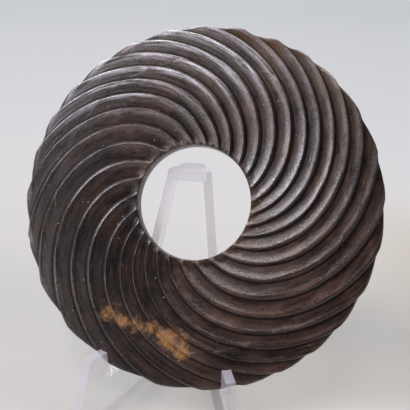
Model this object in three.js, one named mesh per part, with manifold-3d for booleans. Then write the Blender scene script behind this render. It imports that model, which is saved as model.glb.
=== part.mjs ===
// A dark jade bi disc carved with spiral flutes, resting on a clear acrylic easel.
// Millimetres, +Z up, front towards -Y. The origin is on the table, in the middle of the footprint.

import * as THREE from 'three';
import { mergeVertices } from 'three/addons/utils/BufferGeometryUtils.js';
import Module from 'manifold-3d';

const rad = THREE.MathUtils.degToRad;

// ---------------------------------------------------------------- driving dimensions

// The disc
const RIM_RADIUS = 65;            // to the crests of the flutes
const HOLE_RADIUS = 20.4;
const HOLE_HALF_THICKNESS = 2.8;  // at the edge of the hole
const RIM_HALF_THICKNESS = 1.4;   // also the radius that rounds the rim
const BODY_SWELL = 2.1;           // how far each face bulges between hole and rim
const HOLE_BEVEL = 0.4;

// The flutes: concave scoops that run out from the hole in a spiral and on round the rim
const FLUTE_COUNT = 27;
const FLUTE_DEPTH = 1.1;
const FLUTE_DEPTH_AT_RIM = 0.9;
const FLUTE_START = 21.2;         // a plain band runs round the hole inside this radius
const FLUTE_FULL = 23.2;          // the flutes have their whole depth from here outwards
const SCOOP_SHARE = 0.8;          // the part of a flute that falls gently, the rest is the riser
const TWIST_AT_HOLE = 1.4;        // degrees round the disc for each millimetre outwards
const TWIST_AT_RIM = 2.5;
const FIRST_CREST = 9.8;          // degrees, where the first crest leaves the hole

// The flutes were spaced by eye, so their spacing swings slowly round the disc:
// each wave has its cycles in a turn, its swing in degrees and its phase in degrees.
const SPACING_WAVES = [
  { cycles: 1, swing: 6.5, phase: -133 },
  { cycles: 2, swing: 2.8, phase: 120 },
  { cycles: 3, swing: 2.3, phase: -66 },
];

// Where the disc rests
const LEAN = rad(28.5);           // back from the vertical
const DISC_HEIGHT = 72.3;         // centre of the disc above the table

// The easel: two upright side plates that spread towards the front, joined at the top by a cap
const PLATE = 3.2;                // thickness
const SPREAD = rad(21.4);         // each plate, from the line of sight of the disc
const HALF_GAP = 7.5;             // from the middle to a plate's inner face, level with the disc
const EASEL_OFFSET = -3.3;        // the disc sits a little to the right of the easel's middle
const STRUT_LEAN = rad(24);       // the struts stand a little steeper than the disc
const REST_DOWN = 24;             // the disc rests on them just under its hole: down the slope,
const REST_BEHIND = 4;            // and behind the middle of the disc
const STRUT_DEPTH = 3.4;
const CAP_TOP = 81.5;             // above the table
const PRONG_FRONT = 42.5;         // these four run forward along the plate
const PRONG_BACK = 34.6;
const NOTCH_FRONT = 34.1;
const FOOT_REACH = 53.4;
const PRONG_HEIGHT = 28.4;        // these four are above the table
const PRONG_BACK_HEIGHT = 27.2;
const LEDGE_HEIGHT = 16.4;
const REAR_HEIGHT = 7;
const REAR_FACE = 20;             // flat end of the two rails, behind the disc's centre
const CAP_HEIGHT = 3.2;
const CAP_DEPTH = 9;
const CAP_BACK_HALF_WIDTH = 3.4;

const JADE = new THREE.MeshStandardMaterial({ color: 0x3a302d, roughness: 0.34, metalness: 0 });
const ACRYLIC = new THREE.MeshStandardMaterial({
  color: 0xeef1f4, roughness: 0.06, metalness: 0, transparent: true, opacity: 0.3,
});

// ---------------------------------------------------------------- the disc

function halfThickness(radius) {
  const across = (radius - HOLE_RADIUS) / (RIM_RADIUS - HOLE_RADIUS);
  const taper = THREE.MathUtils.lerp(HOLE_HALF_THICKNESS, RIM_HALF_THICKNESS, across);
  return taper + BODY_SWELL * 4 * across * (1 - across);
}

function twist(radius) {
  const out = radius - HOLE_RADIUS;
  const growth = (TWIST_AT_RIM - TWIST_AT_HOLE) / (2 * (RIM_RADIUS - HOLE_RADIUS));
  return TWIST_AT_HOLE * out + growth * out * out;
}

function fluteDepth(radius) {
  const start = THREE.MathUtils.smoothstep(radius, FLUTE_START, FLUTE_FULL);
  const across = (radius - HOLE_RADIUS) / (RIM_RADIUS - HOLE_RADIUS);
  return start * THREE.MathUtils.lerp(FLUTE_DEPTH, FLUTE_DEPTH_AT_RIM, across);
}

// How deep a flute is cut, as a share of its depth: place runs from one crest (0) to the next (1).
function scoop(place) {
  if (place < SCOOP_SHARE) {
    return 1 - (1 - place / SCOOP_SHARE) ** 2;
  }
  return 1 - THREE.MathUtils.smoothstep(place, SCOOP_SHARE, 1);
}

// Angle at which the column numbered by flutes leaves the hole.
function spacedAngle(flutes) {
  const even = 360 * flutes / FLUTE_COUNT;
  let angle = even + FIRST_CREST;
  for (const wave of SPACING_WAVES) {
    angle += wave.swing * Math.sin(rad(wave.cycles * even + wave.phase));
  }
  return angle;
}

// The disc's cross-section from the hole's front edge, out over the rim, to the hole's back edge.
// Each station has a radius, a height off the middle plane, its outward normal, the flute depth
// there and how far the flutes have twisted by then.
function crossSection() {
  const radii = [21.9, 23.2, 26.4, 30.3, 34.3, 38.4, 42.4, 46.4, 50.3, 54, 57.4, 60.4, 62.6];
  const rimCentre = RIM_RADIUS - RIM_HALF_THICKNESS;
  const front = [
    { radius: HOLE_RADIUS, height: HOLE_HALF_THICKNESS - HOLE_BEVEL, out: 0, up: 1, depth: 0 },
    { radius: HOLE_RADIUS + HOLE_BEVEL, height: HOLE_HALF_THICKNESS, out: 0, up: 1, depth: 0 },
  ];
  for (const radius of radii) {
    const slope = halfThickness(radius + 0.5) - halfThickness(radius - 0.5);
    const length = Math.hypot(1, slope);
    front.push({
      radius, height: halfThickness(radius), out: -slope / length, up: 1 / length,
      depth: fluteDepth(radius),
    });
  }
  for (const turn of [62, 32]) {
    const out = Math.cos(rad(turn));
    const up = Math.sin(rad(turn));
    front.push({
      radius: rimCentre + RIM_HALF_THICKNESS * out, height: RIM_HALF_THICKNESS * up, out, up,
      depth: FLUTE_DEPTH_AT_RIM,
    });
  }
  for (const station of front) {
    station.twist = twist(station.radius);
  }
  const overRim = TWIST_AT_RIM * RIM_HALF_THICKNESS * Math.PI / 2;
  const rimTwist = twist(rimCentre) + overRim;
  const edge = {
    radius: RIM_RADIUS, height: 0, out: 1, up: 0, depth: FLUTE_DEPTH_AT_RIM, twist: rimTwist,
  };
  const back = front.map((station) => ({
    ...station, height: -station.height, up: -station.up, twist: 2 * rimTwist - station.twist,
  }));
  return [...front, edge, ...back.reverse()];
}

// The carved disc, lying in its own plane with its front face up (+Z).
function discGeometry() {
  const places = [0, 0.13, 0.42, 0.68, 0.82];
  const columns = FLUTE_COUNT * places.length;
  const stations = crossSection();
  const positions = [];
  for (const station of stations) {
    for (let column = 0; column < columns; column += 1) {
      const place = places[column % places.length];
      const flutes = Math.floor(column / places.length) + place;
      const angle = rad(spacedAngle(flutes) + station.twist);
      const cut = station.depth * scoop(place);
      const radius = station.radius - cut * station.out;
      const height = station.height - cut * station.up;
      positions.push(radius * Math.cos(angle), radius * Math.sin(angle), height);
    }
  }
  const indices = [];
  const last = stations.length - 1;
  const turned = stations[last].twist - stations[0].twist;
  const shift = Math.round(turned * columns / 360);
  for (let ring = 0; ring <= last; ring += 1) {
    const nextRing = (ring + 1) % stations.length;
    const step = ring === last ? shift : 0;
    for (let column = 0; column < columns; column += 1) {
      const a = ring * columns + column;
      const b = ring * columns + (column + 1) % columns;
      const c = nextRing * columns + (column + 1 + step) % columns;
      const d = nextRing * columns + (column + step) % columns;
      indices.push(a, d, b, b, d, c);
    }
  }
  const geometry = new THREE.BufferGeometry();
  geometry.setAttribute('position', new THREE.Float32BufferAttribute(positions, 3));
  geometry.setIndex(indices);
  return geometry;
}

// ---------------------------------------------------------------- the easel

const wasm = await Module();
wasm.setup();

function toSolid(geometry) {
  const bare = geometry.clone();
  bare.deleteAttribute('normal');
  bare.deleteAttribute('uv');
  const merged = mergeVertices(bare, 1e-4);
  return new wasm.Manifold(new wasm.Mesh({
    numProp: 3,
    vertProperties: new Float32Array(merged.attributes.position.array),
    triVerts: new Uint32Array(merged.index.array),
  }));
}

function toGeometry(solid) {
  const mesh = solid.getMesh();
  const geometry = new THREE.BufferGeometry();
  geometry.setAttribute('position', new THREE.BufferAttribute(mesh.vertProperties, 3));
  geometry.setIndex(new THREE.BufferAttribute(mesh.triVerts, 1));
  geometry.computeVertexNormals();
  return geometry;
}

function polygon(points) {
  return new THREE.Shape(points.map(([x, y]) => new THREE.Vector2(x, y)));
}

// Depth behind the disc's centre (world Y) of the struts' front line at a height above the table.
function strutLine(height) {
  const restDepth = REST_BEHIND * Math.cos(LEAN) - REST_DOWN * Math.sin(LEAN);
  const restHeight = DISC_HEIGHT - REST_DOWN * Math.cos(LEAN) - REST_BEHIND * Math.sin(LEAN);
  return restDepth + (height - restHeight) * Math.tan(STRUT_LEAN);
}

// One side plate as its outline: forward along the plate, and up.
function plateOutline() {
  const forward = (height) => -strutLine(height) / Math.cos(SPREAD);
  const railEnd = -(REAR_FACE + 4) / Math.cos(SPREAD);
  return polygon([
    [FOOT_REACH, 0],
    [PRONG_FRONT, PRONG_HEIGHT],
    [PRONG_BACK, PRONG_BACK_HEIGHT],
    [NOTCH_FRONT, LEDGE_HEIGHT],
    [forward(LEDGE_HEIGHT), LEDGE_HEIGHT],
    [forward(CAP_TOP), CAP_TOP],
    [forward(CAP_TOP) - STRUT_DEPTH, CAP_TOP],
    [forward(LEDGE_HEIGHT) - STRUT_DEPTH, LEDGE_HEIGHT],
    [railEnd, REAR_HEIGHT],
    [railEnd, 0],
  ]);
}

function sidePlate(side) {
  const plate = new THREE.ExtrudeGeometry(plateOutline(), { depth: PLATE, bevelEnabled: false });
  plate.rotateX(Math.PI / 2);
  if (side > 0) {
    plate.translate(0, PLATE, 0);
  }
  plate.rotateZ(side * SPREAD - Math.PI / 2);
  plate.translate(side * HALF_GAP, 0, 0);
  return toSolid(plate);
}

// The cap joins the tops of the struts: it narrows to the back and leans with them.
function cap() {
  const front = strutLine(CAP_TOP);
  const frontHalf = HALF_GAP - front * Math.tan(SPREAD) + PLATE / 2;
  const outline = polygon([
    [-frontHalf, front],
    [frontHalf, front],
    [CAP_BACK_HALF_WIDTH + 1.6, front + 0.7 * CAP_DEPTH],
    [CAP_BACK_HALF_WIDTH, front + CAP_DEPTH],
    [-CAP_BACK_HALF_WIDTH, front + CAP_DEPTH],
    [-CAP_BACK_HALF_WIDTH - 1.6, front + 0.7 * CAP_DEPTH],
  ]);
  const block = new THREE.ExtrudeGeometry(outline, { depth: CAP_HEIGHT, bevelEnabled: false });
  block.translate(0, 0, -CAP_HEIGHT);
  const lean = new THREE.Matrix4().set(
    1, 0, 0, 0,
    0, 1, Math.tan(STRUT_LEAN), 0,
    0, 0, 1, 0,
    0, 0, 0, 1,
  );
  block.applyMatrix4(lean);
  block.translate(0, 0, CAP_TOP);
  return toSolid(block);
}

function easelGeometry() {
  const trim = new THREE.BoxGeometry(60, 40, 60);
  trim.translate(0, REAR_FACE + 20, 20);
  const body = sidePlate(-1).add(sidePlate(1)).subtract(toSolid(trim)).add(cap());
  return toGeometry(body);
}

// ---------------------------------------------------------------- the whole object

const disc = new THREE.Mesh(discGeometry(), JADE);
disc.name = 'jade_disc';
disc.rotation.x = Math.PI / 2 - LEAN;
disc.position.z = DISC_HEIGHT;

const easel = new THREE.Mesh(easelGeometry(), ACRYLIC);
easel.name = 'acrylic_easel';
easel.position.x = EASEL_OFFSET;

const group = new THREE.Group();
group.add(disc, easel);

// Slide the whole object over the table until the origin is in the middle of its footprint.
group.updateMatrixWorld(true);
const box = new THREE.Box3().setFromObject(group, true);
group.position.x = -(box.min.x + box.max.x) / 2;
group.position.y = -(box.min.y + box.max.y) / 2;

export default group;
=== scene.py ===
# %% [markdown]
# # A jade bi disc on a clear easel
# A bi is a flat jade disc with a round hole. This one is very dark jade, carved on both faces with
# concave flutes that run out from the hole in a spiral and on round the rim. It leans on a clear
# acrylic easel. The frame gives the size and place of both, in metres, with +Z up and the carved
# face towards -Y.

# %% Load the frame
import math

import bpy
from mathutils import Matrix, Vector, noise


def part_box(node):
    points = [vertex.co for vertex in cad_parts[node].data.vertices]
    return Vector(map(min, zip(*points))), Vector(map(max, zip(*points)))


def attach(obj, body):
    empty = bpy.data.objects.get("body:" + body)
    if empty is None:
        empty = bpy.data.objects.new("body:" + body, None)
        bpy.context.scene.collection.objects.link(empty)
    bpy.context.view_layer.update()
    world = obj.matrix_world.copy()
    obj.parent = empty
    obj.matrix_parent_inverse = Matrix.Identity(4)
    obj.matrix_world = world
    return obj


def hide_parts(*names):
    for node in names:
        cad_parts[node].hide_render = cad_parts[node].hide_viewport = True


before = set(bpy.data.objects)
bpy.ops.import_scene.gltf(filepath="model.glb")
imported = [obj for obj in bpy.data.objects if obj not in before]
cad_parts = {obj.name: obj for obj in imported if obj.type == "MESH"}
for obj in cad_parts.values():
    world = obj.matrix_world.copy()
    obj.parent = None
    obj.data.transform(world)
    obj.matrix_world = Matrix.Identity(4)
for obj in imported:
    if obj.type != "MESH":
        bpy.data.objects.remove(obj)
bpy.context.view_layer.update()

MM = 0.001

# %% [markdown]
# ## Where the disc sits
# The disc leans back on the easel. Its centre is worked out from the easel's box: the easel stands
# a little left of the disc, and its feet reach a known length in front of the disc's centre. One
# matrix then carries points from the disc's own plane (x right, y up the slope, z out of the
# carved face) to the table's frame, so that the carving can be thought out lying flat.

# %% Place of the disc
LEAN = math.radians(28.5)
EASEL_LEFT_BY = 3.3 * MM
PLATE_SPREAD = math.radians(21.4)
FOOT_REACH = 53.4 * MM
FEET_AHEAD_BY = FOOT_REACH * math.cos(PLATE_SPREAD)
CENTRE_HEIGHT = 72.3 * MM

easel_low, easel_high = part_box("acrylic_easel")
disc_centre = Vector((
    (easel_low[0] + easel_high[0]) / 2 + EASEL_LEFT_BY,
    easel_low[1] + FEET_AHEAD_BY,
    CENTRE_HEIGHT,
))
disc_to_table = Matrix.Translation(disc_centre) @ Matrix.Rotation(math.pi / 2 - LEAN, 4, "X")
print("disc centre in mm:", [round(v / MM, 2) for v in disc_centre])

# %% [markdown]
# ## The profile and the flutes
# The carver first turned the disc to a soft lens: thin at the rim, fuller half-way, and thinner
# again at the hole. The flutes were then scooped one by one. Each is a shallow hollow that falls
# gently from one crest and climbs steeply to the next, and each turns further round the disc the
# further out it gets. The numbers are those of the frame's solid, in millimetres, so the fine mesh
# keeps its form.

# %% The disc's own numbers
RIM_RADIUS = 65.0
HOLE_RADIUS = 20.4
HOLE_HALF_THICKNESS = 2.8
RIM_HALF_THICKNESS = 1.4
BODY_SWELL = 2.1
HOLE_BEVEL = 0.4
FLUTE_COUNT = 27
FLUTE_DEPTH = 1.1
FLUTE_DEPTH_AT_RIM = 0.9
FLUTE_START = 19.4
FLUTE_FULL = 23.8
SCOOP_SHARE = 0.80
TWIST_AT_HOLE = 1.4
TWIST_AT_RIM = 2.5
FIRST_CREST = 9.8
SPACING_WAVES = [(1, 6.5, -133), (2, 2.8, 120), (3, 2.3, -66)]


def smooth(value, low, high):
    t = min(1.0, max(0.0, (value - low) / (high - low)))
    return t * t * (3 - 2 * t)


def mix(a, b, share):
    return a + (b - a) * share


def across(radius):
    return (radius - HOLE_RADIUS) / (RIM_RADIUS - HOLE_RADIUS)


def half_thickness(radius):
    a = across(radius)
    return mix(HOLE_HALF_THICKNESS, RIM_HALF_THICKNESS, a) + BODY_SWELL * 4 * a * (1 - a)


def twist(radius):
    out = radius - HOLE_RADIUS
    growth = (TWIST_AT_RIM - TWIST_AT_HOLE) / (2 * (RIM_RADIUS - HOLE_RADIUS))
    return TWIST_AT_HOLE * out + growth * out * out


def flute_depth(radius):
    full = mix(FLUTE_DEPTH, FLUTE_DEPTH_AT_RIM, across(radius))
    return smooth(radius, FLUTE_START, FLUTE_FULL) * full


def spaced_angle(flutes):
    even = 360 * flutes / FLUTE_COUNT
    angle = even + FIRST_CREST
    for cycles, swing, phase in SPACING_WAVES:
        angle += swing * math.sin(math.radians(cycles * even + phase))
    return angle


print("thickness half-way in mm:", round(2 * half_thickness(42.7), 2))

# %% [markdown]
# ## The section from hole to rim and back
# The mesh is a grid, because a grid follows the flutes without a seam. One direction runs round the
# disc, the other follows the section: from the front edge of the hole, out over the front, round
# the thin rim, and home along the back. Every station of the section carries its radius, its height
# off the middle plane, the direction in which the stone is cut there, the flute depth and the twist
# so far. The scoops start a little sooner and softer at the hole than in the frame's solid.

# %% Stations of the front
FRONT_ROWS = 92
BEVEL_TURNS = [30, 60, 90]
RIM_TURNS = [72, 54, 36, 18]


def station(radius, height, out, up, depth, turned):
    return {"radius": radius, "height": height, "out": out, "up": up,
            "depth": depth, "twist": turned}


def face_station(radius):
    slope = half_thickness(radius + 0.5) - half_thickness(radius - 0.5)
    length = math.hypot(1, slope)
    return station(radius, half_thickness(radius), -slope / length, 1 / length,
                   flute_depth(radius), twist(radius))


def front_stations():
    low = HOLE_HALF_THICKNESS - HOLE_BEVEL
    rows = [station(HOLE_RADIUS, low, 1, 0, 0, twist(HOLE_RADIUS))]
    for turn in BEVEL_TURNS:
        a = math.radians(turn)
        radius = HOLE_RADIUS + HOLE_BEVEL * (1 - math.cos(a))
        rows.append(station(radius, low + HOLE_BEVEL * math.sin(a), 0, 1,
                            flute_depth(radius) * turn / 90, twist(radius)))
    first = HOLE_RADIUS + HOLE_BEVEL + 0.3
    last = RIM_RADIUS - RIM_HALF_THICKNESS - 0.4
    rows += [face_station(mix(first, last, i / (FRONT_ROWS - 1))) for i in range(FRONT_ROWS)]
    for turn in RIM_TURNS:
        a = math.radians(turn)
        radius = RIM_RADIUS - RIM_HALF_THICKNESS * (1 - math.cos(a))
        rows.append(station(radius, RIM_HALF_THICKNESS * math.sin(a), math.cos(a), math.sin(a),
                            FLUTE_DEPTH_AT_RIM, twist(radius)))
    return rows


front = front_stations()
print("stations from the hole to the rim:", len(front))

# %% Stations of the whole section
BACK_EVERY = 3
HOLE_ROWS = 1 + len(BEVEL_TURNS) + 1


def whole_section():
    quarter_round = RIM_HALF_THICKNESS * math.pi / 2
    rim_twist = twist(RIM_RADIUS - RIM_HALF_THICKNESS) + TWIST_AT_RIM * quarter_round
    edge = station(RIM_RADIUS, 0, 1, 0, FLUTE_DEPTH_AT_RIM, rim_twist)
    faces = len(front) - len(RIM_TURNS)
    kept = [s for i, s in enumerate(front)
            if i < HOLE_ROWS or i >= faces or (faces - 1 - i) % BACK_EVERY == 0]
    back = [dict(s, height=-s["height"], up=-s["up"], twist=2 * rim_twist - s["twist"])
            for s in kept]
    return front + [edge] + back[::-1]


section = whole_section()
print("stations in the section:", len(section))

# %% [markdown]
# ## The hand of the carver
# No two flutes are alike: each was scooped a little deeper or shallower, its crest wavers, and the
# crests are rubbed round by long handling. Smooth fields of noise, read in millimetres, give the
# waver. They are read round a circle as wide as the flutes laid side by side, so that they meet
# again after a full turn.

# %% Scoop and waver
FLUTE_WIDTH = 5.2
LANES_RADIUS = FLUTE_COUNT * FLUTE_WIDTH / math.tau


def scoop(place):
    if place < SCOOP_SHARE:
        return 1 - (1 - place / SCOOP_SHARE) ** 2
    return (1 - place) / (1 - SCOOP_SHARE)


def near_crest(place, share):
    from_crest = min(place, 1 - place) / share
    return math.exp(-from_crest * from_crest)


def lay(flutes, radius):
    """A place on the carving in mm: across the flutes round a closed circle, and outwards."""
    turn = math.tau * flutes / FLUTE_COUNT
    return Vector((LANES_RADIUS * math.cos(turn), LANES_RADIUS * math.sin(turn), radius))


def waver(where, across_mm, along_mm, seed):
    stretched = Vector((where.x / across_mm, where.y / across_mm, where.z / along_mm + seed))
    return noise.noise(stretched)


print("flutes laid side by side make a circle of radius", round(LANES_RADIUS, 1), "mm")

# %% [markdown]
# ## Flakes lost from the rim
# Jade is tough, but a rim 3 mm thick still loses small flakes when it is knocked. The largest gap
# is at the upper right. Each flake is a soft ellipse on the rim inside which points draw back
# towards the middle of the disc, because that keeps the mesh one closed skin, where cutting would
# not.

# %% Lost flakes
RAGGED = 0.16       # how ragged the outline of a flake is, as a share of its size
RAGS_PER_MM = 0.9
# angle round the disc in degrees, then radius, half-length, half-width and depth in millimetres
FLAKES = [
    (74, 66.0, 7.5, 3.4, 1.0), (86, 66.2, 3.2, 2.4, 0.9), (64, 66.0, 3.5, 2.2, 0.9),
    (162, 66.4, 2.6, 2.4, 1.1), (173, 66.4, 2.4, 2.3, 1.1), (198, 66.2, 2.6, 2.2, 0.9),
    (210, 66.2, 2.8, 2.2, 0.9), (108, 66.3, 2.2, 1.9, 0.7), (236, 66.3, 2.0, 1.8, 0.6),
    (322, 66.3, 2.2, 1.8, 0.6), (12, 66.2, 2.4, 2.0, 0.7), (33, 66.2, 2.0, 1.8, 0.6),
]


def flake(point):
    gone = 0
    for turn, radius, half_length, half_width, depth in FLAKES:
        a = math.radians(turn)
        along = -point.x * math.sin(a) + point.y * math.cos(a)
        outward = point.x * math.cos(a) + point.y * math.sin(a) - radius
        reach = math.hypot(along / half_length, outward / half_width)
        reach += RAGGED * noise.noise(point * RAGS_PER_MM)
        gone = max(gone, depth * (1 - smooth(reach, 0.45, 1.0)))
    return gone


print("flakes lost from the rim:", len(FLAKES))

# %% [markdown]
# ## One point of the carving
# Every point starts on the turned lens. Its crest sways a little to the side, more and more away
# from the hole. Then it is cut: by the scoop, by the rubbing that has lowered the crests, and by a
# thin uneven skin that the polishing took. Last, the hollows bite a little deeper into the left of
# the rim, and the flakes are taken off. The front and the back read the noise at different places,
# so they differ as two carved faces do.

# %% Carve one point
SIDEWAYS = [(0.75, 9, 14, 0), (0.30, 4, 5, 7)]  # degrees, mm across, mm along, seed
DEPTH_SWING = 0.28
CREST_LOWERED = 0.11                            # mm, how far handling has rubbed the crests down
CREST_RUBBED_SHARE = 0.05                       # of a flute's width
SKIN = 0.06                                     # mm
SKIN_WAVES_PER_MM = 0.35
SKIN_STREAKS = 0.035                            # mm
NOTCH_AT_LEFT = 0.65                            # mm
THINNED = 0.12                                  # of the thickness, for each mm that is gone
BACK_SEED = 50


def carved_point(s, flutes, place, side):
    radius = s["radius"]
    where = lay(flutes, radius)
    seed = BACK_SEED * side
    sway = sum(swing * waver(where, across_mm, along_mm, own + seed)
               for swing, across_mm, along_mm, own in SIDEWAYS)
    angle = math.radians(spaced_angle(flutes) + s["twist"] + smooth(radius, 22, 30) * sway)
    p = Vector((radius * math.cos(angle), radius * math.sin(angle), s["height"]))
    cut = s["depth"] * scoop(place) * min(1.0, 0.95 + DEPTH_SWING * waver(where, 7, 30, 20 + seed))
    if s["depth"] > 0:
        rub = CREST_LOWERED * (1 + 0.9 * waver(where, 5, 6, 30 + seed))
        cut += smooth(radius, 21.2, 24.5) * rub * near_crest(place, CREST_RUBBED_SHARE)
        cut += SKIN + SKIN * noise.noise(p * SKIN_WAVES_PER_MM)
        cut += SKIN_STREAKS * waver(where, 1.6, 7, 40)
    p -= cut * Vector((s["out"] * math.cos(angle), s["out"] * math.sin(angle), s["up"]))
    left = 0.5 - 0.5 * math.cos(angle)
    gone = NOTCH_AT_LEFT * scoop(place) * left * smooth(radius, 60, 64)
    if radius > 58:
        gone += flake(p)
    shrink = 1 - gone / radius
    return Vector((p.x * shrink, p.y * shrink, p.z * (1 - THINNED * gone)))


print("first crest at the rim in mm:", [round(v, 1) for v in carved_point(front[-1], 0, 0, 0)])

# %% [markdown]
# ## Marks for the finish
# Paint would need to know where the carving is, so every point carries marks: how deep in a flute
# it lies, whether it is on the steep side, how close to the foot of that side where a thin shade
# is painted, and how far up the gentle side. They are worked out from the place between two
# crests alone.

# %% Marks
FOOT_WIDTH = 0.085   # shares of a flute's width
FLANK_WIDTH = 0.27
CREST_FROM = 0.97


def marks_at(place, shown):
    gentle = place < SCOOP_SHARE
    steep = smooth(place, SCOOP_SHARE - 0.05, SCOOP_SHARE + 0.02)
    return {
        "deep": scoop(place) * shown,
        "steep": steep * shown if place < CREST_FROM else 0,
        "foot": math.exp(-((place - SCOOP_SHARE) / FOOT_WIDTH) ** 2) * shown,
        "flank": (math.exp(-(place / FLANK_WIDTH) ** 2) if gentle else 0) * shown,
    }


print("marks half-way down a flute:", {k: round(v, 2) for k, v in marks_at(0.4, 1).items()})

# %% [markdown]
# ## The fine disc
# The grid is filled point by point in the disc's own plane, and each point is then carried to its
# place on the easel. The place in the plane is kept too, because the finish is laid out in it, and
# so is the lay across and along the flutes. The last row joins the first one a whole number of
# columns further on, since the flutes have turned on their way round the section. The back has a
# third of the rows, because it is plainer and faces away.

# %% Points and marks of the fine disc
PLACES = [0, 0.025, 0.06, 0.105, 0.17, 0.25, 0.34, 0.44, 0.53, 0.62, 0.70, 0.76,
          SCOOP_SHARE, 0.84, 0.88, 0.92, 0.955, 0.98]
COLUMNS = FLUTE_COUNT * len(PLACES)
BACK_LAY = 80        # mm, keeps the streaks of the back apart from those of the front

points, places, lays = [], [], []
marks = {"deep": [], "steep": [], "foot": [], "flank": []}
for row, s in enumerate(section):
    side = 0 if row <= len(section) // 2 else 1
    shown = min(1.0, 1.2 * s["depth"])
    for column in range(COLUMNS):
        place = PLACES[column % len(PLACES)]
        flutes = column // len(PLACES) + place
        point = carved_point(s, flutes, place, side) * MM
        points.append(disc_to_table @ point)
        places.extend(point)
        lays.extend(lay(flutes, s["radius"] + BACK_LAY * side) * MM)
        for name, value in marks_at(place, shown).items():
            marks[name].append(value)
print("points:", len(points))


# %% Faces of the fine disc
def grid_faces():
    faces = []
    last = len(section) - 1
    shift = round((section[last]["twist"] - section[0]["twist"]) * COLUMNS / 360)
    for row in range(len(section)):
        above = (row + 1) % len(section)
        step = shift if row == last else 0
        for column in range(COLUMNS):
            right = (column + 1) % COLUMNS
            faces.append((row * COLUMNS + column,
                          above * COLUMNS + (column + step) % COLUMNS,
                          above * COLUMNS + (right + step) % COLUMNS,
                          row * COLUMNS + right))
    return faces


mesh = bpy.data.meshes.new("carved_disc")
mesh.from_pydata(points, [], grid_faces())
for name, values in marks.items():
    mesh.attributes.new(name, "FLOAT", "POINT").data.foreach_set("value", values)
for name, values in (("on_disc", places), ("lay", lays)):
    mesh.attributes.new(name, "FLOAT_VECTOR", "POINT").data.foreach_set("vector", values)
mesh.shade_smooth()
mesh.update()
disc = bpy.data.objects.new("carved_disc", mesh)
bpy.context.scene.collection.objects.link(disc)
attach(disc, "root")
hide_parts("jade_disc")
print("fine disc:", len(disc.data.vertices), "points,", 2 * len(disc.data.polygons), "triangles")

# %% [markdown]
# ## Colours and nodes
# Colours are written as the hex values a painter would mix on a screen, and one function turns
# them to the linear light that the renderer works in. Another small function adds a node with its
# settings and its links and hands back one output, so that a finish reads like a recipe. Three
# settings that come back often have names: times, plus and a multiply that lays a shade over.

# %% Helpers for finishes
def linear(hexed):
    values = [int(hexed[i:i + 2], 16) / 255 for i in (1, 3, 5)]
    return [v / 12.92 if v <= 0.04045 else ((v + 0.055) / 1.055) ** 2.4 for v in values] + [1.0]


def add(tree, kind, settings=None, links=None, out=0):
    node = tree.nodes.new("ShaderNode" + kind)
    for name, value in (settings or {}).items():
        if name == "stops":
            ramp = node.color_ramp.elements
            while len(ramp) < len(value):
                ramp.new(0.5)
            for element, (position, colour) in zip(ramp, value):
                element.position = position
                is_hex = isinstance(colour, str)
                element.color = linear(colour) if is_hex else [colour] * 3 + [1.0]
        elif isinstance(name, int) or name in node.inputs:
            node.inputs[name].default_value = value
        else:
            setattr(node, name, value)
    for name, source in (links or {}).items():
        tree.links.new(source, node.inputs[name])
    return node.outputs[out]


def finish(name):
    made = bpy.data.materials.new(name)
    made.use_nodes = True
    return made, made.node_tree, made.node_tree.nodes["Principled BSDF"].inputs


TIMES = {"operation": "MULTIPLY"}
PLUS = {"operation": "ADD"}
SHADED = {"blend_type": "MULTIPLY", "Fac": 1.0}
print("white is", linear("#ffffff")[:3])

# %% [markdown]
# ## Dark jade: the body
# Nephrite this dark looks nearly black in the grooves and brown where it is thin or rubbed. It is
# a tight felt of fibres with an IOR of 1.62, carved with abrasive sand and rubbed to a soft polish.
# The colour is built in layers, from the stone outwards, because each layer of a real surface hides
# the one below in patches. First come brown-black clouds some 14 mm wide. A picture of stone would
# be quicker, but it wouldn't follow the carving as marks at the points do.

# %% Clouds in the stone
NEPHRITE_IOR = 1.62
CLOUD = 14 * MM

jade, tree, jade_in = finish("dark_jade_polished")
jade_in["IOR"].default_value = NEPHRITE_IOR

on_disc = add(tree, "Attribute", {"attribute_name": "on_disc"}, out="Vector")
lay_of = add(tree, "Attribute", {"attribute_name": "lay"}, out="Vector")
deep, steep, foot, flank = [
    add(tree, "Attribute", {"attribute_name": name}, out="Fac")
    for name in ("deep", "steep", "foot", "flank")]

clouds = add(tree, "TexNoise", {"Scale": 1 / CLOUD, "Detail": 9.0, "Roughness": 0.72},
             {"Vector": on_disc})
stone = add(tree, "ValToRGB",
            {"stops": [(0.36, "#271b19"), (0.50, "#45312a"), (0.64, "#634639")]}, {0: clouds})
print("clouds", round(CLOUD / MM), "mm wide")

# %% [markdown]
# ## Dark jade: streaks and mottle
# The sand has drawn the colour out along the flutes, in streaks 0.9 mm wide and some eight times as
# long, and there is a coarser mottle of 1.7 mm. Both are read in the lay of the carving and
# squeezed along it, so they bend with the spiral. Painted shade darkens the hollows below the
# crests.

# %% Streaks and mottle
STREAK = 0.9 * MM
STREAK_SQUEEZE = (1.0, 1.0, 0.12)
MOTTLE = 1.7 * MM
MOTTLE_SQUEEZE = (1.0, 1.0, 0.25)

along = add(tree, "VectorMath", {"operation": "MULTIPLY", 1: STREAK_SQUEEZE}, {0: lay_of})
streaks = add(tree, "TexNoise", {"Scale": 1 / STREAK, "Detail": 5.0, "Roughness": 0.65},
              {"Vector": along})
pale_share = add(tree, "ValToRGB", {"stops": [(0.52, 0.0), (0.72, 0.6)]}, {0: streaks})
dark_share = add(tree, "ValToRGB", {"stops": [(0.28, 0.75), (0.47, 0.0)]}, {0: streaks})
stone = add(tree, "MixRGB", {"Color2": linear("#604d45")}, {"Fac": pale_share, "Color1": stone})
stone = add(tree, "MixRGB", {"Color2": linear("#150f0e")}, {"Fac": dark_share, "Color1": stone})

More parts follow.
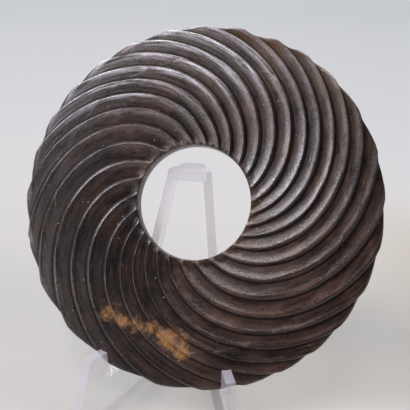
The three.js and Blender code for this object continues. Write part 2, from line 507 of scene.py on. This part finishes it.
broad = add(tree, "VectorMath", {"operation": "MULTIPLY", 1: MOTTLE_SQUEEZE}, {0: lay_of})
mottle = add(tree, "TexNoise", {"Scale": 1 / MOTTLE, "Detail": 7.0, "Roughness": 0.75},
             {"Vector": broad})
shade = add(tree, "ValToRGB", {"stops": [(0.38, 0.20), (0.64, 0.95)]}, {0: mottle})
stone = add(tree, "MixRGB", SHADED, {"Color1": stone, "Color2": shade})
# painted shade: the flute hollows are darkened towards their deepest part
painted_hollow_shade = add(tree, "MapRange", {"From Min": 0.4, "To Min": 1.0, "To Max": 0.72}, {"Value": deep})
stone = add(tree, "MixRGB", SHADED, {"Color1": stone, "Color2": painted_hollow_shade})
print("streaks", STREAK / MM, "mm and mottle", MOTTLE / MM, "mm wide")

# %% [markdown]
# ## Dark jade: one side and the other
# At the thin upper right rim light comes through the stone honey brown, and painted shade darkens
# the lower left to bluish black. A share that grows in one direction across the disc lays each
# colour in, because it needs two nodes and no painted mask.

# %% Honey rim and painted shade at the lower left
def share_towards(degrees, low_mm, high_mm, most):
    """Share that grows from 0 to most as a point goes out in one direction across the disc."""
    a = math.radians(degrees)
    reach = add(tree, "VectorMath", {"operation": "DOT_PRODUCT", 1: (math.cos(a), math.sin(a), 0)},
                {0: on_disc}, out="Value")
    return add(tree, "MapRange", {"From Min": low_mm * MM, "From Max": high_mm * MM,
                                  "To Max": most, "interpolation_type": "SMOOTHSTEP"},
               {"Value": reach})


patchy = add(tree, "ValToRGB", {"stops": [(0.38, 0.35), (0.60, 1.0)]}, {0: clouds})
honey = add(tree, "Math", TIMES, {0: share_towards(58, 50, 63, 0.80), 1: patchy})
stone = add(tree, "MixRGB", {"Color2": linear("#4a3219")}, {"Fac": honey, "Color1": stone})
# painted shade: the lower left darkened to bluish black
painted_shade_lower_left = share_towards(200, 0, 55, 0.55)
stone = add(tree, "MixRGB", {"Color2": linear("#131318")}, {"Fac": painted_shade_lower_left, "Color1": stone})
print("stone laid in", len(tree.nodes), "nodes")

# %% [markdown]
# ## Dark jade: painted shade at the foot and on the lower right
# Shade is painted as a thin near-black line at the foot of each steep side. At the lower right the
# steep sides face away from the light, and painted shade darkens them whole. Both are nearly black.

# %% Painted shade at the foot and on the lower right
# painted shade: a thin near-black line at the foot of each steep side
painted_foot_shade = add(tree, "ValToRGB", {"stops": [(0.25, 0.0), (1.0, 0.85)]}, {0: foot})
skin = add(tree, "MixRGB", {"Color2": linear("#0b0808")}, {"Fac": painted_foot_shade, "Color1": stone})
# painted shade: the steep sides at the lower right darkened whole
painted_steep_shade = add(tree, "Math", TIMES, {0: share_towards(305, -30, 20, 0.34), 1: steep})
skin = add(tree, "MixRGB", {"Color2": linear("#0b0808")}, {"Fac": painted_steep_shade, "Color1": skin})
print("dirt and earth up to node", len(tree.nodes))

# %% [markdown]
# ## Dark jade: handling and painted sheen
# Hands have left the gentle sides greyer towards the top, in scuffs 1.3 mm coarse; this grey is
# partly wear and partly painted sheen. Near the top a painted violet white sheen runs along them in
# streaks, broken by a speckle of 0.55 mm. Real speckle is finer, but it is drawn as coarse as it
# needs to be to show. The honey rim keeps its own colour.

# %% Handling and painted sheen
SCUFF = 1.3 * MM
SPECKLE = 0.55 * MM

scuffs = add(tree, "TexNoise", {"Scale": 1 / SCUFF, "Detail": 8.0, "Roughness": 0.8},
             {"Vector": on_disc})
broken = add(tree, "ValToRGB", {"stops": [(0.40, 0.15), (0.62, 1.0)]}, {0: scuffs})
# wear and painted sheen: the gentle sides paler grey towards the top
wear_and_painted_sheen = add(tree, "Math", TIMES, {0: share_towards(85, -20, 46, 0.22), 1: flank})
wear_and_painted_sheen = add(tree, "Math", TIMES, {0: wear_and_painted_sheen, 1: broken})
skin = add(tree, "MixRGB", {"Color2": linear("#aaa5a9")}, {"Fac": wear_and_painted_sheen, "Color1": skin})

grains = add(tree, "TexNoise", {"Scale": 1 / SPECKLE, "Detail": 4.0, "Roughness": 0.8},
             {"Vector": on_disc})
streaky = add(tree, "ValToRGB", {"stops": [(0.44, 0.0), (0.61, 1.0)]}, {0: streaks})
speckled = add(tree, "ValToRGB", {"stops": [(0.40, 0.45), (0.54, 1.0)]}, {0: grains})
off_rim = add(tree, "Math", {"operation": "SUBTRACT", 0: 1.0},
              {1: share_towards(58, 50, 60, 0.85)})
sheen = add(tree, "Math", TIMES, {0: share_towards(103, 28, 50, 0.95), 1: flank})
for share in (streaky, speckled, off_rim):
    sheen = add(tree, "Math", TIMES, {0: sheen, 1: share})
skin = add(tree, "MixRGB", {"Color2": linear("#eae7f4")}, {"Fac": sheen, "Color1": skin})
print("wear up to node", len(tree.nodes))

# %% [markdown]
# ## Dark jade: ochre stain
# A powdery ochre stain lies low on the left in a row of patches up to 10 mm wide, left by the soil.
# Each patch is a distance from a point, all are added up, and a noise frays their edges, so that
# they run into each other as a stain does.

# %% Stain
# x, y and radius in millimetres, in the disc's own plane
STAINS = [(-25.4, -42.0, 3.9), (-20.6, -44.2, 1.6), (-16.4, -44.6, 3.0), (-9.6, -44.8, 2.8),
          (-4.4, -47.6, 2.6), (-1.0, -49.0, 4.3), (2.4, -52.2, 2.3)]
STAIN_HEIGHT = 3.4
FRAY = 2.6 * MM

frayed = add(tree, "TexNoise", {"Scale": 1 / FRAY, "Detail": 8.0, "Roughness": 0.78},
             {"Vector": on_disc})
patches = frayed
for x, y, radius in STAINS:
    middle = (x * MM, y * MM, STAIN_HEIGHT * MM)
    away = add(tree, "VectorMath", {"operation": "DISTANCE", 1: middle}, {0: on_disc},
               out="Value")
    patch = add(tree, "MapRange", {"From Min": 1.7 * radius * MM, "From Max": 0.1 * radius * MM,
                                   "To Max": 0.40}, {"Value": away})
    patches = add(tree, "Math", PLUS, {0: patches, 1: patch})
stain = add(tree, "ValToRGB", {"stops": [(0.65, 0.0), (0.81, 0.42), (0.99, 0.82)]}, {0: patches})
ochre = add(tree, "ValToRGB",
            {"stops": [(0.35, "#6b4527"), (0.50, "#93653a"), (0.65, "#b6884e")]}, {0: frayed})
skin = add(tree, "MixRGB", {}, {"Fac": stain, "Color1": skin, "Color2": ochre})
print("stain patches:", len(STAINS))

# %% [markdown]
# ## Dark jade: grit
# Fine pale grit is caught in the grooves, grains of 0.3 mm a few millimetres apart. Cells of a
# Voronoi pattern place one grain each, and only some of the cells keep theirs.

# %% Grit
GRIT_RADIUS = 0.16 * MM
GRIT_SPACING = 3 * MM
GRIT_LEFT_OUT = 0.45

specks = add(tree, "TexVoronoi", {"Scale": 1 / GRIT_SPACING}, {"Vector": on_disc}).node
grit = add(tree, "Math", {"operation": "LESS_THAN", 1: GRIT_RADIUS / GRIT_SPACING},
           {0: specks.outputs["Distance"]})
kept = add(tree, "Math", {"operation": "GREATER_THAN", 1: GRIT_LEFT_OUT},
           {0: specks.outputs["Color"]})
for share in (kept, deep):
    grit = add(tree, "Math", TIMES, {0: grit, 1: share})
skin = add(tree, "MixRGB", {"Color2": linear("#d2c4b2")}, {"Fac": grit, "Color1": skin})
tree.links.new(skin, jade_in["Base Color"])
print("colour done in", len(tree.nodes), "nodes")

# %% [markdown]
# ## Dark jade: polish
# The crests and gentle sides are the smoothest, because hands reach them. The foot of each flute
# keeps the ground surface of the carving. The stain, the painted shade at the foot of the steep
# sides and on the lower right, and the broken rim at the upper right are dull. Roughness alone
# would leave a grey veil on them, so the strength of the reflection goes down too. In the painted
# foot shade it nearly goes out, and everywhere the fine speckle breaks it up, as the pits of an
# old polish do.

# %% Roughness
polish = add(tree, "MapRange", {"To Min": 0.17, "To Max": 0.32}, {"Value": deep})
uneven = add(tree, "MapRange", {"From Min": 0.35, "From Max": 0.65,
                                "To Min": -0.06, "To Max": 0.10}, {"Value": mottle})
roughness = add(tree, "Math", PLUS, {0: polish, 1: uneven})
dull = add(tree, "Math", {"operation": "MAXIMUM"},
           {0: painted_steep_shade, 1: share_towards(74, 58.5, 62, 0.75)})
for share, level in ((stain, 0.8), (painted_foot_shade, 0.6), (dull, 0.7)):
    roughness = add(tree, "MixRGB", {"Color2": (level, level, level, 1.0)},
                    {"Fac": share, "Color1": roughness})
tree.links.new(roughness, jade_in["Roughness"])
print("roughness up to node", len(tree.nodes))

# %% Strength of the reflection
shine = add(tree, "MapRange", {"To Min": 0.5, "To Max": 0.06}, {"Value": dull})
ground = add(tree, "MapRange", {"From Min": 0.45, "To Min": 1.0, "To Max": 0.4}, {"Value": deep})
# the reflection is nearly put out where the foot shade is painted
dimmed_in_foot_shade = add(tree, "MapRange", {"To Min": 1.0, "To Max": 0.25}, {"Value": painted_foot_shade})
worn = add(tree, "MapRange", {"From Min": 0.38, "From Max": 0.60,
                              "To Min": 0.45, "To Max": 1.5}, {"Value": grains})
for share in (ground, dimmed_in_foot_shade, worn):
    shine = add(tree, "Math", TIMES, {0: shine, 1: share})
tree.links.new(shine, jade_in["Specular IOR Level"])
print("reflection up to node", len(tree.nodes))

# %% [markdown]
# ## Dark jade: scratches and pits
# The sand left fine scratches along the flutes, and the surface is pitted. They are too fine for
# the mesh, so bump draws them, with the streaks and the scuffs as heights of a tenth or two of a
# millimetre.

# %% Scratches and pits
scratched = add(tree, "Bump", {"Strength": 0.6, "Distance": 0.09 * MM}, {"Height": streaks})
pitted = add(tree, "Bump", {"Strength": 0.6, "Distance": 0.19 * MM},
             {"Height": scuffs, "Normal": scratched})
tree.links.new(pitted, jade_in["Normal"])

disc.data.materials.append(jade)
print("jade nodes:", len(tree.nodes))

# %% [markdown]
# ## Clear acrylic
# The easel is cut from clear cast acrylic sheet 3.2 mm thick, IOR 1.49, with flame-polished edges.
# The broad faces of the sheet are almost invisible. The cut edges are seen because light runs along
# inside the sheet and leaves there, with a faint violet, and their corners draw thin darker lines.
# Real refraction would be slow and would hide the edges, so plain see-through values are used on
# three finishes: faces, cut edges and corners. Edges seen only through the sheet stay clear.

# %% Clear acrylic
ACRYLIC_IOR = 1.49
RIPPLE = 5 * MM


def clear_sheet(name, colour, alpha, ripple_mm, haze_most=0.12):
    made, tree, sheet_in = finish(name)
    sheet_in["IOR"].default_value = ACRYLIC_IOR
    sheet_in["Base Color"].default_value = linear(colour)
    sheet_in["Alpha"].default_value = alpha
    here = add(tree, "TexCoord", out="Object")
    ripple = add(tree, "TexNoise", {"Scale": 1 / RIPPLE, "Detail": 2.0}, {"Vector": here})
    haze = add(tree, "MapRange", {"From Min": 0.35, "From Max": 0.7, "To Min": haze_most / 4,
                                  "To Max": haze_most}, {"Value": ripple})
    tree.links.new(haze, sheet_in["Roughness"])
    waves = add(tree, "Bump", {"Strength": 0.2, "Distance": ripple_mm * MM}, {"Height": ripple})
    tree.links.new(waves, sheet_in["Normal"])
    return made


print("acrylic IOR", ACRYLIC_IOR)

# %% Faces, cut edges and corners of the easel
EDGE_ROUND = 0.22 * MM
PRONG_FROM = 17 * MM
PRONG_IN_FRONT_OF = -15 * MM
LEDGE_UNDER = 20 * MM
FACE, CUT_EDGE, CORNER = 0, 1, 2

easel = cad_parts["acrylic_easel"]
easel.data.materials.clear()
easel.data.materials.append(clear_sheet("clear_acrylic_face", "#f0f1f5", 0.11, 0.03))
easel.data.materials.append(clear_sheet("clear_acrylic_cut_edge", "#bab6c2", 0.46, 0.05))
easel.data.materials.append(clear_sheet("clear_acrylic_corner", "#807b8b", 0.62, 0.02, 0.45))
for face in easel.data.polygons:
    on_sheet = abs(face.normal.x) > 0.85 and abs(face.normal.z) < 0.2
    prong = face.center.z > PRONG_FROM and face.center.y < PRONG_IN_FRONT_OF
    hidden_edge = (face.normal.y > 0.3 and not prong) or face.normal.z < -0.5
    ledge = face.normal.z > 0.995 and face.center.z < LEDGE_UNDER
    face.material_index = FACE if on_sheet or hidden_edge or ledge else CUT_EDGE
edges = easel.modifiers.new("flame_polished_edges", "BEVEL")
edges.width = EDGE_ROUND
edges.segments = 2
edges.material = CORNER
print("easel faces:", len(easel.data.polygons))

# %% [markdown]
# ## Table
# A pale matt card on a table, 6 m wide so that its end is never in view. Its colour carries
# painted light: a gradient paints the light drifting a little with distance, a paler patch just in
# front of the disc paints light over the disc's shadow, and a browner patch far off at the right
# paints the warmer, dimmer light that comes back to it from the things around.

# %% Table
TABLE_HALF = 3.0
DRIFT_FROM = -0.05
DRIFT_TO = 1.5
# painted light patches: x, y, radius in millimetres, share and colour
PAINTED_LIGHT_PATCHES = [(36, 0, 76, 0.85, "#b6b2af"), (116, 130, 100, 0.5, "#8a8271")]

table_mesh = bpy.data.meshes.new("table")
corners = [(-TABLE_HALF, -TABLE_HALF, 0), (TABLE_HALF, -TABLE_HALF, 0),
           (TABLE_HALF, TABLE_HALF, 0), (-TABLE_HALF, TABLE_HALF, 0)]
table_mesh.from_pydata(corners, [], [(0, 1, 2, 3)])
table = bpy.data.objects.new("table", table_mesh)
bpy.context.scene.collection.objects.link(table)

card, tree, card_in = finish("matt_pale_card")
on_card = add(tree, "TexCoord", out="Object")
ahead = add(tree, "SeparateXYZ", None, {0: on_card}, out="Y")
depth = add(tree, "MapRange", {"From Min": DRIFT_FROM, "From Max": DRIFT_TO}, {"Value": ahead})
# painted shading: the card's tone drifts with distance as the light on it does
tone = add(tree, "ValToRGB", {"stops": [
    (0.0, "#9e9c9b"), (0.035, "#939190"), (0.065, "#929190"), (0.09, "#999796"),
    (0.142, "#9b9a9a"), (0.27, "#969699"), (0.5, "#8f9193"), (1.0, "#86898c")]}, {0: depth})
# painted light and shade: a paler patch in front of the disc, a browner one far off at the right
for x, y, reach, most, colour in PAINTED_LIGHT_PATCHES:
    away = add(tree, "VectorMath", {"operation": "DISTANCE", 1: (x * MM, y * MM, 0)}, {0: on_card},
               out="Value")
    patch = add(tree, "MapRange", {"From Min": reach * MM, "From Max": 0.0, "To Max": most,
                                   "interpolation_type": "SMOOTHSTEP"}, {"Value": away})
    tone = add(tree, "MixRGB", {"Color2": linear(colour)}, {"Fac": patch, "Color1": tone})
tree.links.new(tone, card_in["Base Color"])
card_in["Roughness"].default_value = 0.8
table.data.materials.append(card)
print("table", 2 * TABLE_HALF, "m wide")

# %% [markdown]
# ## Light
# Five wide far lights stand for a bright room: a window at the left and its lower pane in front,
# sky behind and above, and a lamp overhead. Far lights are used because each then shows in the
# polish of the flutes at one known slope, so that its place can be reasoned out. The world's own
# light is kept low, because it would veil the dark grooves.

# %% Light
ROOM_GLOW = 0.12


def far_light(name, towards_light, width_degrees, strength, colour):
    lamp = bpy.data.lights.new(name, "SUN")
    lamp.angle = math.radians(width_degrees)
    lamp.energy = strength
    lamp.color = linear(colour)[:3]
    made = bpy.data.objects.new(name, lamp)
    bpy.context.scene.collection.objects.link(made)
    made.rotation_euler = Vector(towards_light).to_track_quat("Z", "Y").to_euler()
    return made


far_light("window_left", (-0.72, -0.30, 0.63), 26, 2.7, "#f8f6ff")
far_light("skylight_behind", (-0.22, 0.60, 0.77), 26, 2.8, "#ffffff")
far_light("skylight_above", (0.30, 0.42, 0.86), 22, 1.2, "#ffffff")
far_light("window_front_left", (-0.68, -0.70, 0.16), 16, 0.6, "#fff8f4")
far_light("lamp_overhead", (-0.14, -0.28, 0.95), 26, 1.3, "#fffaf6")

world = bpy.data.worlds.new("room")
world.use_nodes = True
room = world.node_tree.nodes["Background"].inputs
room["Color"].default_value = linear("#e6e8ea")
room["Strength"].default_value = ROOM_GLOW
bpy.context.scene.world = world
bpy.context.scene.view_settings.view_transform = "Standard"
print("lights:", len(bpy.data.lights))

# %% [markdown]
# ## Camera
# The camera looks down at the face from the right of straight on, from close by, so that the rim
# nearest to it looks a little larger. It is placed by two turns about the disc's middle, and the
# disc is then moved a touch left of the middle of the view by shifting the lens, because turning
# the camera would change the shape of the rim.

# %% Camera
TURN = math.radians(13.9)
TILT = math.radians(23.5)
ROLL = math.radians(-0.4)
DISTANCE = 203 * MM
SENSOR = 36
FOCAL = 50.2244
SHIFT = (0.0263415, -0.0058537)

level = math.cos(TILT)
towards = Vector((math.sin(TURN) * level, -math.cos(TURN) * level, math.sin(TILT)))
right = Vector((math.cos(TURN), math.sin(TURN), 0))
up = towards.cross(right)
rolled_right = right * math.cos(ROLL) + up * math.sin(ROLL)
rolled_up = -right * math.sin(ROLL) + up * math.cos(ROLL)

lens = bpy.data.cameras.new("camera")
lens.sensor_width = SENSOR
lens.lens = FOCAL
lens.shift_x, lens.shift_y = SHIFT
lens.clip_start = 10 * MM
camera = bpy.data.objects.new("camera", lens)
bpy.context.scene.collection.objects.link(camera)
camera.location = disc_centre + towards * DISTANCE
camera.rotation_euler = Matrix((rolled_right, rolled_up, towards)).transposed().to_euler()
bpy.context.scene.camera = camera
print("camera", [round(v / MM, 1) for v in camera.location], "lens", round(lens.lens, 1))
